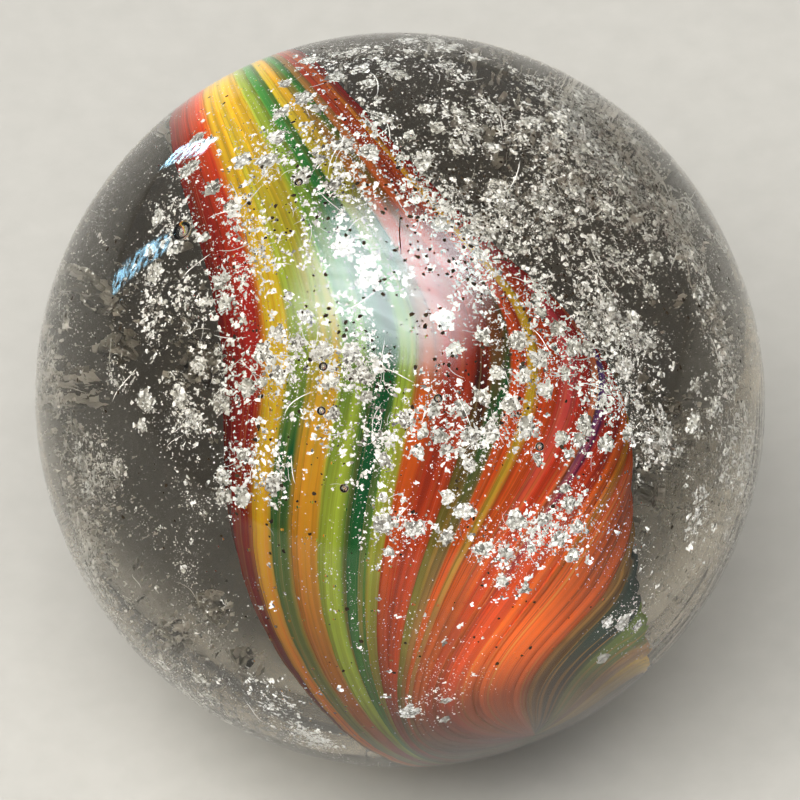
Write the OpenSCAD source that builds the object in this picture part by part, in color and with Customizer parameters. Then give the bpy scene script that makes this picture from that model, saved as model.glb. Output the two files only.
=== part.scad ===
// Handmade glass marble, lying on a level surface.
// A clear ball holds a flattened, twisted cane of fused colour strands that
// runs from pole to pole. Mica flakes and a few bubbles float between the
// cane and the surface. The origin is the middle of the ball, +Z is up.

/* [Ball] */
// Diameter across the waist, square to the cane
ball_d = 24.8; // [23.5:0.1:36]
// How much longer the ball is from pole to pole
ball_stretch = 0.3; // [0.05:0.05:0.6]

/* [Lie] */
// Rise of the cane's upper end above level, in degrees
cane_rise = 30; // [0:1:90]
// Turn of the cane to the left of straight back, in degrees
cane_turn = 25; // [-180:1:180]

/* [Cane] */
// Half width of the cane at its upper end
top_w = 1.5; // [1:0.1:2.2]
// Half thickness of the cane at its upper end
top_t = 1.4; // [1:0.1:2]
// Half width of the cane where it is widest
belly_w = 5.4; // [4:0.1:5.6]
// Half thickness of the cane where it is widest
belly_t = 3.4; // [2.4:0.1:4]
// Half width of the cane's lower tip
tip_w = 1.2; // [0.8:0.1:1.6]
// Distance of the widest place below the middle of the ball
belly_drop = 6.5; // [5:0.25:7]
// Fullness of the cane from there to the tip, where 2 is an oval
belly_fullness = 2.75; // [2:0.25:3]
// Clear glass between the cane's ends and the surface
end_cover = 0.35; // [0.2:0.05:1]
// Sideways bow of the cane at its upper end
cane_bow = 1.1; // [0:0.1:1.4]
// Direction that the upper end bows in, in degrees round the cane
bow_side = 155; // [0:1:360]
// Sideways bow of the cane halfway down its lower half
lower_bow = 0.9; // [0:0.1:1.1]
// Direction that the lower half bows in, in degrees round the cane
lower_bow_side = 60; // [0:1:360]
// Direction of the flat's wide side at the upper end, in degrees
flat_side = 209; // [0:1:360]
// Twist of the flat from the upper end to the tip, in degrees
twist = 162; // [0:2:240]
// Height above the middle where the twist starts
twist_start = 5.5; // [4:0.25:9]

/* [Strands] */
// How far each strand stands out in the middle of its width
strand_ridge = 0.12; // [0:0.01:0.3]
// Place round the section where the first strand starts, in degrees
first_strand = -20; // [-180:1:180]
// How far the strands slide round the flat over the upper end, in degrees
upper_slide = 14; // [0:1:30]
// How far they slide round it near the tip, in degrees
lower_slide = 25; // [0:1:40]
// Height over which either slide takes place
slide_span = 5; // [4:0.25:6]
// Depth below the middle where the lower slide starts
lower_slide_drop = 7; // [5:0.25:8]

/* [Mica flakes] */
// Flakes in a clump of middling size
flakes_in_clump = 5; // [3:1:5]
// Smallest flake, across
flake_min_d = 0.45; // [0.3:0.05:0.6]
// Largest flake, across
flake_max_d = 0.95; // [0.6:0.05:1.1]
// Thickness of a flake
flake_t = 0.05; // [0.03:0.01:0.1]
// Spacing of the flakes in a clump
flake_pitch = 0.48; // [0.44:0.02:0.5]
// Greatest tilt of a flake out of its layer, in degrees
flake_tilt = 12; // [0:1:20]
// Place of the layer: 0 is at the cane, 1 at the surface
layer_depth = 0.5; // [0.4:0.05:0.6]
// Share of the clear glass that the layer takes up
layer_share = 0.3; // [0.2:0.05:0.4]
// Least clear glass between a flake and the cane
flake_cane_gap = 0.6; // [0.5:0.1:1.5]
// Least clear glass between a flake and the surface
flake_cover = 1.2; // [0.8:0.1:2]

/* [Bubbles] */
// Diameter of the small bubbles
bubble_d = 0.3; // [0.15:0.05:0.5]
// Diameter of the one large bubble
big_bubble_d = 0.7; // [0.4:0.05:1]
// Clear glass between the bubbles and the surface
bubble_cover = 0.4; // [0.2:0.05:0.8]

/* [Hidden] */
$fn = 96;

// Each strand: its name, its share of the way round and its colour
strands = [
    ["brick", 22, "#8E1C14"],
    ["oxblood", 24, "#A5261A"],
    ["amber", 13, "#E0AC2C"],
    ["bottle_green", 11, "#1E6B35"],
    ["marigold", 13, "#D8952A"],
    ["lime", 12, "#98AC42"],
    ["leaf_green", 11, "#3C7E3A"],
    ["olive", 7, "#8E8A34"],
    ["apricot", 7, "#DC7434"],
    ["scarlet", 14, "#BE341E"],
    ["maroon", 7, "#3A1610"],
    ["forest_green", 7, "#255E2C"],
    ["flame", 7, "#D8501C"],
    ["yellow", 5, "#E2B030"],
    ["vermilion", 10, "#D04A1E"],
    ["ruby", 10, "#C02A26"],
    ["cardinal", 9, "#B02418"],
    ["coral", 4, "#E8784C"],
    ["violet", 6, "#3E2E74"],
    ["crimson", 16, "#C2331A"],
    ["orange", 9, "#E25A1A"],
    ["straw", 5, "#E0902A"],
    ["persimmon", 24, "#DE521A"],
    ["rust", 9, "#B4502A"],
    ["honey", 8, "#B07A38"],
    ["dark_teal", 18, "#16382C"],
    ["moss", 16, "#7C8434"],
    ["copper", 10, "#A8592A"],
    ["ochre", 18, "#A87A30"],
    ["cherry", 28, "#7C2A1A"]
];

// Clumps of flakes: degrees round the cane, degrees up from the waist, and size
clumps = [
    [-156, 6, 1.2], [-147, -8, 1], [-134, 4, 0.8], [-140, 17, 0.6], [-149, 28, 0.8],
    [-134, 29, 0.6], [-138, 41, 0.6], [-123, 7, 1.2], [-116, -3, 1], [-110, -14, 1],
    [-98, -15, 1.6], [-84, -13, 1], [-91, -3, 0.6], [-104, 13, 0.6], [-102, 28, 0.8],
    [-116, 35, 0.6], [-103, 42, 0.8], [-118, -25, 0.8], [-106, -27, 0.6], [-98, -38, 1.2],
    [-84, -36, 1], [-82, -25, 0.8], [-70, -21, 1], [-70, -7, 1.6], [-55, -8, 1.4],
    [-78, 12, 1.2], [-64, 11, 1.4], [-50, 8, 1.2], [-86, 27, 1], [-72, 27, 1.2],
    [-58, 25, 1.2], [-82, 48, 1.2], [-68, 46, 1], [-47, 46, 0.8], [-40, 22, 1.4],
    [-28, 13, 1], [-18, 24, 0.8], [-36, -2, 0.8], [-50, -24, 1], [-34, -18, 0.6],
    [-62, -60, 0.8], [-140, -62, 0.6], [-8, 8, 1], [8, 20, 0.8], [20, 2, 1.2],
    [36, 18, 1], [48, -4, 1.4], [30, 42, 0.8], [62, 12, 1], [78, 30, 0.8],
    [84, 4, 1.2], [100, 18, 1], [108, -6, 1], [124, 8, 1.4], [142, 20, 0.8],
    [146, -4, 1], [168, 6, 1], [30, -26, 0.8], [72, -24, 1], [112, -30, 0.8],
    [160, -24, 0.6]
];

// Small bubbles, and the large one, in the same terms
bubbles = [[-120, -8], [-117, -2], [-122, -20], [-110, 28], [-102, -13], [-88, -25], [165, 14]];
big_bubble = [-134, 29];

golden_angle = 137.5;
columns = 3;          // skin columns across one strand
upper_rings = 13;     // spans from the upper end to the widest place
lower_rings = 7;      // spans from there to the tip
rings = upper_rings + lower_rings;
strand_count = len(strands);
skin_columns = strand_count * columns;
flake_sides = 5;

ball_r = ball_d / 2;
half_stretch = ball_stretch / 2;
belly_z = -belly_drop;
top_z = end_height(top_w);
tip_z = -end_height(tip_w);
tip_angle = acos(pow(tip_w / belly_w, belly_fullness / 2));
tip_reach = (belly_z - tip_z) / drop_share(lower_rings);

function strand_name(s) = str(s[0], "_strand");
function mix(a, b, t) = a + (b - a) * t;
function smooth(t) = let (c = min(max(t, 0), 1)) c * c * (3 - 2 * c);
function polar(r, a) = [r * cos(a), r * sin(a)];
function spun(p, a) = [p.x * cos(a) - p.y * sin(a), p.x * sin(a) + p.y * cos(a)];

// Height of an end whose rim stays end_cover under the surface
function end_height(w) = sqrt(pow(ball_r - end_cover, 2) - w * w) + half_stretch;

// Distance of the surface from the pole-to-pole line
function ball_reach(z) = sqrt(pow(ball_r, 2) - pow(max(abs(z) - half_stretch, 0), 2));

// Height of a place some degrees up from the waist
function height_at(up) = ball_r * sin(up);

// Section of the cane: a smooth step above the widest place, a full oval below
function swell(z) = smooth((top_z - z) / (top_z - belly_z));
function closing(z) = pow(1 - pow((belly_z - z) / tip_reach, belly_fullness), 1 / belly_fullness);
function half_size(z, top, belly) = z > belly_z ? mix(top, belly, swell(z)) : belly * closing(z);
function half_w(z) = half_size(z, top_w, belly_w);
function half_t(z) = half_size(z, top_t, belly_t);
function flat_turn(z) = flat_side - twist * smooth((twist_start - z) / (twist_start - tip_z));
function axis_xy(z) = polar(cane_bow * smooth(z / top_z), bow_side)
    + polar(lower_bow * sin(180 * max(z / tip_z, 0)), lower_bow_side);
function cane_reach(z) = half_w(z) + norm(axis_xy(z));

// How far the strands have slid round the flat, against the numbering
function slide(z) = upper_slide * smooth(z / slide_span)
    + lower_slide * smooth((-z - lower_slide_drop) / slide_span);

// Heights of the rings, evenly spaced above and closer towards the tip
function drop_share(k) = pow(sin(tip_angle * k / lower_rings), 2 / belly_fullness);
function ring_z(k) = k <= upper_rings
    ? mix(top_z, belly_z, k / upper_rings)
    : belly_z - tip_reach * drop_share(k - upper_rings);

// Angle round the section where strand i starts
share_total = share_before(strand_count);
function share_before(i) = i == 0 ? 0 : share_before(i - 1) + strands[i - 1][1];
function strand_from(i) = first_strand + 360 * share_before(i) / share_total;

function axis_point(k) = let (z = ring_z(k), c = axis_xy(z)) [c.x, c.y, z];
function skin_point(k, column) =
    let (z = ring_z(k),
         i = min(floor(column / columns), strand_count - 1),
         across = column / columns - i,
         a = mix(strand_from(i), strand_from(i + 1), across) - slide(z),
         ridge = strand_ridge * sin(180 * across),
         p = spun([(half_w(z) + ridge) * cos(a), (half_t(z) + ridge) * sin(a)], flat_turn(z)),
         c = axis_xy(z))
    [c.x + p.x, c.y + p.y, z];

// Two triangles between points p and q of ring k and of ring k + 1, with n
// points to a ring. Both sides of a shared wall split on the same corners.
function span_faces(p, q, k, n) = let (u = k * n, l = u + n) [[p + u, q + u, q + l], [p + u, q + l, p + l]];
function back_faces(p, q, k, n) = let (u = k * n, l = u + n) [[p + u, q + u, p + l], [q + u, q + l, p + l]];
function cap_faces(n) = [[for (j = [n - 1:-1:0]) j], [for (j = [0:n - 1]) rings * n + j]];

// Turns the cane from upright to the way the marble lies
module lie() {
    rotate([0, 0, cane_turn]) rotate([cane_rise - 90, 0, 0]) children();
}

module ball() {
    rotate_extrude() intersection() {
        union() {
            for (end = [-1, 1]) translate([0, end * half_stretch]) circle(d = ball_d);
            square([ball_d, ball_stretch], center = true);
        }
        translate([0, -ball_d]) square(2 * ball_d);
    }
}

// The whole cane as one body, with the same skin as its strands
module cane() {
    n = skin_columns;
    points = [for (k = [0:rings], j = [0:n - 1]) skin_point(k, j)];
    faces = concat(
        [for (k = [0:rings - 1], j = [0:n - 1]) each span_faces(j, (j + 1) % n, k, n)],
        cap_faces(n));
    polyhedron(points, faces, convexity = 6);
}

// One colour strand: a wedge of the cane from its axis to its skin
module strand(i) {
    n = columns + 2;
    points = [for (k = [0:rings]) each concat(
        [axis_point(k)], [for (j = [0:columns]) skin_point(k, i * columns + j)])];
    faces = concat(
        [for (k = [0:rings - 1], j = [0:columns]) each span_faces(j, j + 1, k, n)],
        [for (k = [0:rings - 1]) each back_faces(n - 1, 0, k, n)],
        cap_faces(n));
    color(strands[i][2]) lie() polyhedron(points, faces, convexity = 4);
}

function flakes_in(clump) = round(flakes_in_clump * clumps[clump][2]);

// One flake: a thin ragged chip, flat in the layer and slightly tilted
module flake(clump, i) {
    r = rands(0, 1, flake_sides + 4, 100 * clump + i);
    offset = polar(flake_pitch * sqrt(i + 0.5), golden_angle * (i + clump));
    z = height_at(clumps[clump][1]) + offset.y;
    depth = layer_depth + layer_share * (r[0] - 0.5);
    reach = mix(cane_reach(z) + flake_cane_gap, ball_reach(z) - flake_cover, depth);
    round_cane = clumps[clump][0] + offset.x / reach * 180 / PI;
    size = mix(flake_min_d, flake_max_d, r[1]) / 2;
    tilt = [mix(-flake_tilt, flake_tilt, r[2]), mix(-flake_tilt, flake_tilt, r[3])];
    corners = [for (k = [0:flake_sides - 1])
        polar(size * mix(0.7, 1, r[k + 4]), 360 * k / flake_sides + 360 * r[0])];
    rotate([0, 0, round_cane]) translate([reach, 0, z])
        rotate([tilt.x, 90 - atan2(z, reach) + tilt.y, 0])
            linear_extrude(height = flake_t, center = true) polygon(corners);
}

module flakes() {
    for (clump = [0:len(clumps) - 1], i = [0:flakes_in(clump) - 1]) flake(clump, i);
}

module bubble(place, d) {
    z = height_at(place[1]);
    rotate([0, 0, place[0]]) translate([ball_reach(z) - bubble_cover - d / 2, 0, z])
        sphere(d = d, $fn = 24);
}

module clear_glass() {
    color([0.9, 0.93, 0.9, 0.35]) lie() difference() {
        ball();
        cane();
        flakes();
        for (place = bubbles) bubble(place, bubble_d);
        bubble(big_bubble, big_bubble_d);
    }
}

module mica_flakes() {
    color("#DAD8CE") lie() flakes();
}

clear_glass();
for (i = [0:strand_count - 1])
    strand(i);
mica_flakes();
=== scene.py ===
import random
from math import acos, asin, atan, atan2, copysign, cos, exp, hypot, pi, radians, sin, sqrt, tan

import bmesh
import bpy
from mathutils import Matrix, Vector, kdtree, noise


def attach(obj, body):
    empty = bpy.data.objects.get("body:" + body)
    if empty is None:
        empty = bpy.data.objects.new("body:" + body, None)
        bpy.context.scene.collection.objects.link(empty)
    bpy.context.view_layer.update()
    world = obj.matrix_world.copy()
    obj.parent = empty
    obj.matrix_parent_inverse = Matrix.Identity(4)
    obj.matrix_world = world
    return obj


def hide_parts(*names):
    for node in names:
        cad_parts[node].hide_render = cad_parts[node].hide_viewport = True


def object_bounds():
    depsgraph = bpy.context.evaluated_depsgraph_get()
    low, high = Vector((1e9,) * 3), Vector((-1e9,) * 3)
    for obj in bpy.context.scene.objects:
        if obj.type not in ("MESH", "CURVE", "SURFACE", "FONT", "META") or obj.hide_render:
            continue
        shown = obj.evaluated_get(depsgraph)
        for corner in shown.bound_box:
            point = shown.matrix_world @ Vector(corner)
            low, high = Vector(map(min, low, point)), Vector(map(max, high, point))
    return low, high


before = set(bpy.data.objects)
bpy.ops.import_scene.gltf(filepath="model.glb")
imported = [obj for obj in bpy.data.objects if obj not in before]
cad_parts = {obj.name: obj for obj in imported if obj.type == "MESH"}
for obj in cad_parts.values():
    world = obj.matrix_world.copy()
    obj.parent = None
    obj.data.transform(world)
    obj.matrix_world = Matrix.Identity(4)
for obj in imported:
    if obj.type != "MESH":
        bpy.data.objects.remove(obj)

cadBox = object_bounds()
scene = bpy.context.scene
mm = 0.001
print("frame loaded,", len(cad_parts), "nodes")


# Helpers

def toLinear(hexColour):
    parts = [int(hexColour[i:i + 2], 16) / 255 for i in (0, 2, 4)]
    return [c / 12.92 if c <= 0.04045 else ((c + 0.055) / 1.055) ** 2.4 for c in parts] + [1.0]


def addNode(tree, kind, inputs=None, **settings):
    node = tree.nodes.new(kind)
    for name, value in settings.items():
        setattr(node, name, value)
    for key, value in (inputs or {}).items():
        if isinstance(value, bpy.types.Node):
            value = value.outputs[0]  # a node stands for its first output
        if isinstance(value, bpy.types.NodeSocket):
            tree.links.new(value, node.inputs[key])
        else:
            node.inputs[key].default_value = value
    return node


def newMaterial(name):
    material = bpy.data.materials.new(name)
    material.use_nodes = True
    material.node_tree.nodes.clear()
    return material, material.node_tree


def setRamp(node, stops):
    elements = node.color_ramp.elements
    while len(elements) < len(stops):
        elements.new(1.0)
    for element, (place, hexColour) in zip(elements, stops):
        element.position = place
        element.color = toLinear(hexColour)


def newMesh(name, verts, faces, strength=None):
    mesh = bpy.data.meshes.new(name)
    mesh.from_pydata(verts, [], faces)
    if strength:
        mesh.attributes.new("strength", "FLOAT", "POINT").data.foreach_set("value", strength)
    return mesh


def faceOut(mesh):
    solid = bmesh.new()
    solid.from_mesh(mesh)
    bmesh.ops.recalc_face_normals(solid, faces=solid.faces)
    solid.to_mesh(mesh)
    solid.free()


def addPiece(name, mesh, material=None):
    piece = bpy.data.objects.new(name, mesh)
    scene.collection.objects.link(piece)
    if material:
        mesh.materials.append(material)
    return piece


def mottled(name, patchSize, detail, stops, specular):
    # A matt surface whose colour wanders in patches of so many mm
    material, tree = newMaterial(name)
    place = addNode(tree, "ShaderNodeTexCoord").outputs["Object"]
    patch = addNode(tree, "ShaderNodeTexNoise", {
        "Vector": place, "Scale": 1 / (patchSize * mm), "Detail": detail})
    tone = addNode(tree, "ShaderNodeValToRGB", {"Fac": patch})
    setRamp(tone, stops)
    shader = addNode(tree, "ShaderNodeBsdfPrincipled", {
        "Base Color": tone, "Roughness": 0.9, "Specular IOR Level": specular})
    addNode(tree, "ShaderNodeOutputMaterial", {"Surface": shader})
    return material


spanNames = ("From Min", "From Max", "To Min", "To Max")  # of a Map Range node


def smoothStep(t):
    t = min(max(t, 0), 1)
    return t * t * (3 - 2 * t)


def mix(a, b, t):
    return a + (b - a) * t


# The ball and the way it lies

ball = {
    "radius": 12.4,       # mm, across the waist
    "halfStretch": 0.15,  # mm, half of the extra length from pole to pole
    "rise": 30,           # degrees, the cane's upper end above level
    "turn": 25,           # degrees, the cane's upper end to the left of straight back
    "rings": 120,
    "segments": 240,
}
lie = Matrix.Rotation(radians(ball["turn"]), 4, "Z") @ Matrix.Rotation(
    radians(ball["rise"] - 90), 4, "X")


def ballReach(z):
    beyond = max(abs(z) - ball["halfStretch"], 0)
    return sqrt(max(ball["radius"] ** 2 - beyond ** 2, 0))


def heightAt(up):
    return ball["radius"] * sin(radians(up))


def placed(x, y, z):
    return lie @ Vector((x * mm, y * mm, z * mm))


def polar(reach, around, z):
    a = radians(around)
    return placed(reach * cos(a), reach * sin(a), z)


# Clear glass: gathered and rounded by hand, then worn. The eye gets a smoky depth,
# a lively surface, and small pits that show dark in the highlights.

glass = {
    "tint": "B8B1A2", "density": 124,   # smoke over the whole depth of the ball
    "ior": 1.5,
    "lampsThrough": 1.2, "shade": 0.10,  # lamp light gathered by the near and kept by the far surface
    "waveSize": 4.5, "waveDepth": 0.016,  # mm, the slow unevenness of a hand rounded ball
    "rippleSize": 1.2, "rippleDepth": 0.0022,
    "pitCell": 0.5, "pitSize": 0.06, "pitDepth": 0.01,
    "cordSide": (0.88, -0.47, -0.08), "cordFrom": 0.80, "cordTo": 0.97,  # where cords set in, of the radius
    "cordAcross": (0, -0.7, 0.7), "cordDown": (0, 0.7, 0.7),
    "cordWidth": 0.7, "cordLength": 5.0, "cordDepth": 0.035,  # mm
    "inside": 0.007,                   # mm, keeps this finer ball within the coarser one's reach
}
bubbles = {
    # degrees round and degrees up
    "small": [(-120, -8), (-117, -2), (-122, -20), (-110, 28), (-102, -13), (-88, -25), (165, 14)],
    "big": (-134, 29),
    "smallSize": 0.3, "bigSize": 0.7, "cover": 0.4,  # mm
    "rings": 16, "segments": 24,
}


def clearGlass():
    material, tree = newMaterial("hand gathered soda glass, worn")
    place = addNode(tree, "ShaderNodeTexCoord").outputs["Object"]
    wave = addNode(tree, "ShaderNodeTexNoise", {"Vector": place, "Scale": 1 / (glass["waveSize"] * mm)})
    ripple = addNode(tree, "ShaderNodeTexNoise", {"Vector": place, "Scale": 1 / (glass["rippleSize"] * mm)})
    cells = addNode(tree, "ShaderNodeTexVoronoi", {"Vector": place, "Scale": 1 / (glass["pitCell"] * mm)})
    pits = addNode(tree, "ShaderNodeMapRange", {
        "Value": cells.outputs["Distance"], "From Max": glass["pitSize"] / glass["pitCell"]})

    # Cords: glass that cooled first shows as upright waves low on one side
    ways = []
    for direction, size in ((glass["cordAcross"], glass["cordWidth"]),
                            (glass["cordDown"], glass["cordLength"]), (glass["cordSide"], ball["radius"])):
        ways.append(addNode(tree, "ShaderNodeVectorMath", {
            0: place, 1: Vector(direction) / (size * mm)}, operation="DOT_PRODUCT").outputs["Value"])
    corded = addNode(tree, "ShaderNodeCombineXYZ", {0: ways[0], 1: ways[1]})
    cords = addNode(tree, "ShaderNodeTexNoise", {"Vector": corded, "Scale": 1.0, "Detail": 1})
    reached = addNode(tree, "ShaderNodeMapRange", {
        "Value": ways[2], "From Min": glass["cordFrom"], "From Max": glass["cordTo"]},
        interpolation_type="SMOOTHSTEP")
    cord = addNode(tree, "ShaderNodeMath", {0: cords, 1: reached}, operation="MULTIPLY")
    normal = None
    for height, depth in ((wave, "waveDepth"), (ripple, "rippleDepth"), (cord, "cordDepth"),
                          (pits, "pitDepth")):
        bump = addNode(tree, "ShaderNodeBump", {"Height": height, "Distance": glass[depth] * mm})
        if normal:
            tree.links.new(normal.outputs[0], bump.inputs["Normal"])
        normal = bump
    shader = addNode(tree, "ShaderNodeBsdfPrincipled", {
        "Base Color": (1, 1, 1, 1), "Roughness": 0.0, "IOR": glass["ior"], "Normal": normal,
        "Transmission Weight": 1.0})
    # Lamps reach the strands through the near surface, and little passes to the floor beyond
    path = addNode(tree, "ShaderNodeLightPath")
    crossed = addNode(tree, "ShaderNodeMath", {0: path.outputs["Transparent Depth"], 1: 0.5},
                      operation="GREATER_THAN")
    near, far = glass["lampsThrough"], glass["shade"]
    kept = addNode(tree, "ShaderNodeMix", {0: crossed, 6: (near, near, near, 1), 7: (far, far, far, 1)},
                   data_type="RGBA")
    through = addNode(tree, "ShaderNodeBsdfTransparent", {"Color": kept.outputs[2]})
    both = addNode(tree, "ShaderNodeMixShader", {0: path.outputs["Is Shadow Ray"], 1: shader, 2: through})
    smoke = addNode(tree, "ShaderNodeVolumeAbsorption", {
        "Color": toLinear(glass["tint"]), "Density": glass["density"]})
    addNode(tree, "ShaderNodeOutputMaterial", {"Surface": both, "Volume": smoke})
    return material


def addGlobe(verts, faces, rings, segments, pointAt, outward):
    first = len(verts)
    verts.append(pointAt(90, 0))
    for k in range(1, rings):
        for j in range(segments):
            verts.append(pointAt(90 - 180 * k / rings, 360 * j / segments))
    verts.append(pointAt(-90, 0))
    last = len(verts) - 1
    new = []
    for j in range(segments):
        n = (j + 1) % segments
        new.append((first, first + 1 + j, first + 1 + n))
        new.append((last, last - segments + n, last - segments + j))
    for k in range(rings - 2):
        for j in range(segments):
            a = first + 1 + k * segments + j
            b = first + 1 + k * segments + (j + 1) % segments
            new.append((a, a + segments, b + segments, b))
    faces.extend(new if outward else [tuple(reversed(f)) for f in new])


def ballPoint(up, around):
    z = heightAt(up)
    stretch = copysign(ball["halfStretch"], z) if abs(z) > 1e-6 else 0
    level = cos(radians(up))
    return polar(ball["radius"] * level, around, z + stretch) * (1 - glass["inside"] / ball["radius"])


def glassMesh():
    verts, faces = [], []
    addGlobe(verts, faces, ball["rings"], ball["segments"], ballPoint, True)
    sizes = [(place, bubbles["smallSize"]) for place in bubbles["small"]]
    for (around, up), size in sizes + [(bubbles["big"], bubbles["bigSize"])]:
        z = heightAt(up)
        middle = polar(ballReach(z) - bubbles["cover"] - size / 2, around, z)
        radius = size / 2 * mm

        def bubblePoint(u, a):
            e, h = radians(u), radians(a)
            level = cos(e)
            return middle + radius * Vector((level * cos(h), level * sin(h), sin(e)))
        addGlobe(verts, faces, bubbles["rings"], bubbles["segments"], bubblePoint, False)
    mesh = newMesh("clear_glass_ball", verts, faces)
    mesh.shade_smooth()
    return mesh


glassPiece = addPiece("clear_glass_ball", glassMesh(), clearGlass())
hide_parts("clear_glass")
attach(glassPiece, "root")
print("glass done")


# The cane of drawn colour strands

cane = {
    "topW": 1.5, "topT": 1.4,        # mm, half width and half thickness at the upper end
    "bellyW": 5.4, "bellyT": 3.4,    # mm, the same at the widest place
    "tipW": 1.2,                     # mm, half width of the lower tip
    "bellyDrop": 6.5,                # mm, widest place below the middle
    "fullness": 2.75,                # of the lower end, where 2 is an oval
    "endCover": 0.35,                # mm, clear glass over the ends
    "bow": 1.1, "bowSide": 155,      # mm and degrees, bow of the upper end
    "lowerBow": 0.9, "lowerBowSide": 60,
    "flatSide": 209, "twist": 162,   # degrees, side of the flat at the top and its twist to the tip
    "twistStart": 5.5,               # mm above the middle
    "ridge": 0.12,                   # mm, how far a strand stands out
    "firstStrand": -20,              # degrees round the section
    "upperSlide": 14, "lowerSlide": 25,      # degrees that the strands slide round the flat
    "slideSpan": 5, "lowerSlideDrop": 7,     # mm
    "upperRings": 75, "lowerRings": 55,
    "columnWidth": 1.6, "fewestColumns": 5,  # degrees of skin to one column of faces
    "wander": 1.3, "wanderLength": 5,        # degrees and mm, how the seams wander
    "calmEnd": 1, "calm": 0.5,       # mm at the ends, where they wander less, and by what share
    "sharp": 50,                     # degrees, edges that stay sharp
}

# Rods of coloured glass
rods = {
    "maroon": "42100A", "oxblood": "96180F", "brick": "AC3418", "ruby": "C0281E", "rose": "E4485A",
    "flame": "E24C14", "orange": "F26A18", "salmon": "F28A5A", "saffron": "FAB42A", "amber": "FCCA26",
    "lemon": "FCD834", "lime": "B4CE46", "olive": "8E8C34", "fern": "7A9A34", "leaf": "4A9A42",
    "bottle": "126A38", "pine": "0E3C30", "ink": "10202E", "violet": "3C2CA0",
    "umber": "74461E", "bronze": "A07428", "tan": "BC8842",
}

# Each strand: its share of the way round, then its rods at the crown, shoulder, belly and foot
strands = {
    "brick": (22, "brick", "oxblood", "maroon", "umber"),
    "oxblood": (24, "flame", "ruby", "oxblood", "umber"),
    "amber": (13, "amber", "lemon", "amber", "orange"),
    "bottle_green": (11, "lemon", "lime", "bottle", "olive"),
    "marigold": (13, "amber", "lime", "saffron", "brick"),
    "lime": (12, "lime", "leaf", "lime", "lime"),
    "leaf_green": (11, "leaf", "bottle", "bottle", "leaf"),
    "olive": (7, "lemon", "leaf", "lime", "olive"),
    "apricot": (7, "amber", "bottle", "orange", "brick"),
    "scarlet": (14, "leaf", "flame", "brick", "flame"),
    "maroon": (7, "tan", "flame", "maroon", "olive"),
    "forest_green": (7, "flame", "brick", "bottle", "tan"),
    "flame": (7, "orange", "flame", "flame", "orange"),
    "yellow": (5, "flame", "amber", "lemon", "tan"),
    "vermilion": (10, "brick", "flame", "flame", "orange"),
    "ruby": (10, "ruby", "ruby", "rose", "orange"),
    "cardinal": (9, "oxblood", "ruby", "ruby", "flame"),
    "coral": (4, "ruby", "ruby", "salmon", "orange"),
    "violet": (6, "maroon", "ruby", "violet", "flame"),
    "crimson": (16, "oxblood", "oxblood", "ruby", "flame"),
    "orange": (9, "ruby", "ruby", "orange", "orange"),
    "straw": (5, "flame", "brick", "amber", "orange"),
    "persimmon": (24, "brick", "flame", "flame", "orange"),
    "rust": (9, "oxblood", "brick", "brick", "orange"),
    "honey": (8, "amber", "tan", "tan", "bronze"),
    "dark_teal": (18, "bottle", "pine", "ink", "pine"),
    "moss": (16, "lime", "leaf", "bottle", "fern"),
    "copper": (10, "amber", "tan", "orange", "tan"),
    "ochre": (18, "bronze", "bronze", "tan", "amber"),
    "cherry": (28, "ruby", "oxblood", "oxblood", "umber"),
}
strandNames = list(strands)


def endHeight(width):
    return sqrt((ball["radius"] - cane["endCover"]) ** 2 - width ** 2) + ball["halfStretch"]


bellyZ = -cane["bellyDrop"]
topZ = endHeight(cane["topW"])
tipZ = -endHeight(cane["tipW"])
tipAngle = acos((cane["tipW"] / cane["bellyW"]) ** (cane["fullness"] / 2))


def dropShare(t):
    return sin(tipAngle * t) ** (2 / cane["fullness"])


tipReach = (bellyZ - tipZ) / dropShare(1)


def halfSize(z, top, belly):
    if z > bellyZ:
        return mix(top, belly, smoothStep((topZ - z) / (topZ - bellyZ)))
    closed = ((bellyZ - z) / tipReach) ** cane["fullness"]
    return belly * (1 - closed) ** (1 / cane["fullness"])


def flatTurn(z):
    done = (cane["twistStart"] - z) / (cane["twistStart"] - tipZ)
    return cane["flatSide"] - cane["twist"] * smoothStep(done)


def caneAxis(z):
    upper = cane["bow"] * smoothStep(z / topZ)
    lower = cane["lowerBow"] * sin(pi * max(z / tipZ, 0))
    a, b = radians(cane["bowSide"]), radians(cane["lowerBowSide"])
    return upper * cos(a) + lower * cos(b), upper * sin(a) + lower * sin(b)


def slide(z):
    return (cane["upperSlide"] * smoothStep(z / cane["slideSpan"])
            + cane["lowerSlide"] * smoothStep((-z - cane["lowerSlideDrop"]) / cane["slideSpan"]))


def skinPoint(z, around, stand):
    a = radians(around - slide(z))
    x = (halfSize(z, cane["topW"], cane["bellyW"]) + stand) * cos(a)
    y = (halfSize(z, cane["topT"], cane["bellyT"]) + stand) * sin(a)
    t = radians(flatTurn(z))
    cx, cy = caneAxis(z)
    return placed(cx + x * cos(t) - y * sin(t), cy + x * sin(t) + y * cos(t), z)


def ringHeights():
    upper = [mix(topZ, bellyZ, k / cane["upperRings"]) for k in range(cane["upperRings"])]
    rings = cane["lowerRings"]
    return upper + [bellyZ - tipReach * dropShare(k / rings) for k in range(rings + 1)]


heights = ringHeights()
shareTotal = sum(row[0] for row in strands.values())
seams = [cane["firstStrand"]]
for row in strands.values():
    seams.append(seams[-1] + 360 * row[0] / shareTotal)


def seamAt(i, z):
    calm = 1 if tipZ + cane["calmEnd"] < z < topZ - cane["calmEnd"] else cane["calm"]
    swing = noise.noise(Vector((i % len(strands) * 3.7, z / cane["wanderLength"], 5.0)))
    return seams[i] + swing * cane["wander"] * calm


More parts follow.
